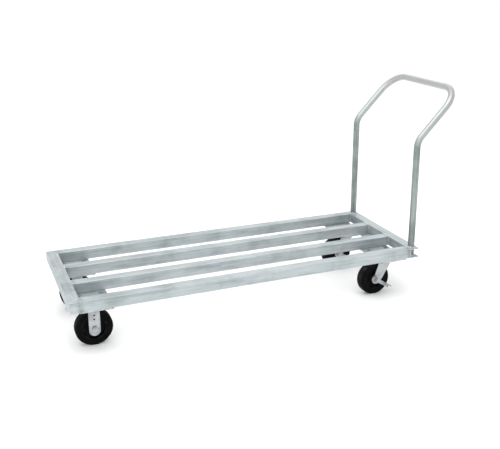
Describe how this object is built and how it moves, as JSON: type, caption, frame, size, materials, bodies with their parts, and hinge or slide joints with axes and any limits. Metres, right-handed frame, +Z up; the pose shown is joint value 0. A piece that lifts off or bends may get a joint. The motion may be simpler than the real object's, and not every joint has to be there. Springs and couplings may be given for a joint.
{
  "type": "platform truck",
  "caption": "Flatbed platform truck: open aluminium tube deck, bent tube push handle, two rigid and two braked swivel casters.",
  "frame": {"origin": "on the floor under the middle of the truck's box", "axes": "+X from the nose towards the handle, +Z up, -Y is the left of a person pushing at the handle"},
  "size_m": [1.4904, 0.508, 0.8127],
  "materials": {
    "mill_aluminium": "mill finish, scuffed",
    "handle_aluminium": "drawn tube",
    "zinc_plated_steel": "bright zinc plate",
    "black_wheel": "moulded, matt",
    "bearing_steel": "ground"
  },
  "bodies": {
    "truck": {"nose_rail": "mill_aluminium", "side_rail_left": "mill_aluminium", "side_rail_right": "mill_aluminium", "slat_left": "mill_aluminium", "slat_right": "mill_aluminium", "handle_end_channel": "mill_aluminium", "push_handle": "handle_aluminium", "handle_end_strap": "mill_aluminium", "pad_nose_left": "mill_aluminium", "pad_nose_right": "mill_aluminium", "pad_handle_left": "mill_aluminium", "pad_handle_right": "mill_aluminium", "caster_bolts": "zinc_plated_steel", "caster_nuts": "zinc_plated_steel", "rigid_left_plate": "zinc_plated_steel", "rigid_left_fork": "zinc_plated_steel", "rigid_left_spanner_bush": "bearing_steel", "rigid_left_thrust_washers": "bearing_steel", "rigid_left_axle_bolt": "zinc_plated_steel", "rigid_left_axle_nut": "zinc_plated_steel", "swivel_left_plate": "zinc_plated_steel", "swivel_left_kingpin": "zinc_plated_steel", "rigid_right_plate": "zinc_plated_steel", "rigid_right_fork": "zinc_plated_steel", "rigid_right_spanner_bush": "bearing_steel", "rigid_right_thrust_washers": "bearing_steel", "rigid_right_axle_bolt": "zinc_plated_steel", "rigid_right_axle_nut": "zinc_plated_steel", "swivel_right_plate": "zinc_plated_steel", "swivel_right_kingpin": "zinc_plated_steel"},
    "rigid_left_wheel": {"rigid_left_tread": "black_wheel", "rigid_left_core": "black_wheel", "rigid_left_bearing": "bearing_steel"},
    "swivel_left_wheel": {"swivel_left_tread": "black_wheel", "swivel_left_core": "black_wheel", "swivel_left_bearing": "bearing_steel"},
    "swivel_left_fork": {"swivel_left_yoke": "zinc_plated_steel", "swivel_left_balls": "bearing_steel", "swivel_left_brake_cam": "zinc_plated_steel", "swivel_left_spanner_bush": "bearing_steel", "swivel_left_thrust_washers": "bearing_steel", "swivel_left_axle_bolt": "zinc_plated_steel", "swivel_left_axle_nut": "zinc_plated_steel"},
    "swivel_left_brake": {"swivel_left_brake_lever": "zinc_plated_steel"},
    "rigid_right_wheel": {"rigid_right_tread": "black_wheel", "rigid_right_core": "black_wheel", "rigid_right_bearing": "bearing_steel"},
    "swivel_right_wheel": {"swivel_right_tread": "black_wheel", "swivel_right_core": "black_wheel", "swivel_right_bearing": "bearing_steel"},
    "swivel_right_fork": {"swivel_right_yoke": "zinc_plated_steel", "swivel_right_balls": "bearing_steel", "swivel_right_brake_cam": "zinc_plated_steel", "swivel_right_spanner_bush": "bearing_steel", "swivel_right_thrust_washers": "bearing_steel", "swivel_right_axle_bolt": "zinc_plated_steel", "swivel_right_axle_nut": "zinc_plated_steel"},
    "swivel_right_brake": {"swivel_right_brake_lever": "zinc_plated_steel"}
  },
  "joints": [
    {"name": "rigid_left_roll", "type": "hinge", "parent": "truck", "child": "rigid_left_wheel", "pos_m": [-0.65633, -0.15663, 0.0635], "axis": [0, 1, 0], "continuous": true},
    {"name": "swivel_left_swivel", "type": "hinge", "parent": "truck", "child": "swivel_left_fork", "pos_m": [0.47108, -0.15663, 0.15], "axis": [0, 0, 1], "continuous": true},
    {"name": "swivel_left_roll", "type": "hinge", "parent": "swivel_left_fork", "child": "swivel_left_wheel", "pos_m": [0.43457, -0.15663, 0.0635], "axis": [0, 1, 0], "continuous": true},
    {"name": "swivel_left_brake_press", "type": "hinge", "parent": "swivel_left_fork", "child": "swivel_left_brake", "pos_m": [0.43457, -0.15663, 0.0635], "axis": [0, 1, 0], "range_deg": [-20, 12]},
    {"name": "rigid_right_roll", "type": "hinge", "parent": "truck", "child": "rigid_right_wheel", "pos_m": [-0.65633, 0.15663, 0.0635], "axis": [0, 1, 0], "continuous": true},
    {"name": "swivel_right_swivel", "type": "hinge", "parent": "truck", "child": "swivel_right_fork", "pos_m": [0.47108, 0.15663, 0.15], "axis": [0, 0, 1], "continuous": true},
    {"name": "swivel_right_roll", "type": "hinge", "parent": "swivel_right_fork", "child": "swivel_right_wheel", "pos_m": [0.43457, 0.15663, 0.0635], "axis": [0, 1, 0], "continuous": true},
    {"name": "swivel_right_brake_press", "type": "hinge", "parent": "swivel_right_fork", "child": "swivel_right_brake", "pos_m": [0.43457, 0.15663, 0.0635], "axis": [0, 1, 0], "range_deg": [-20, 12]}
  ]
}
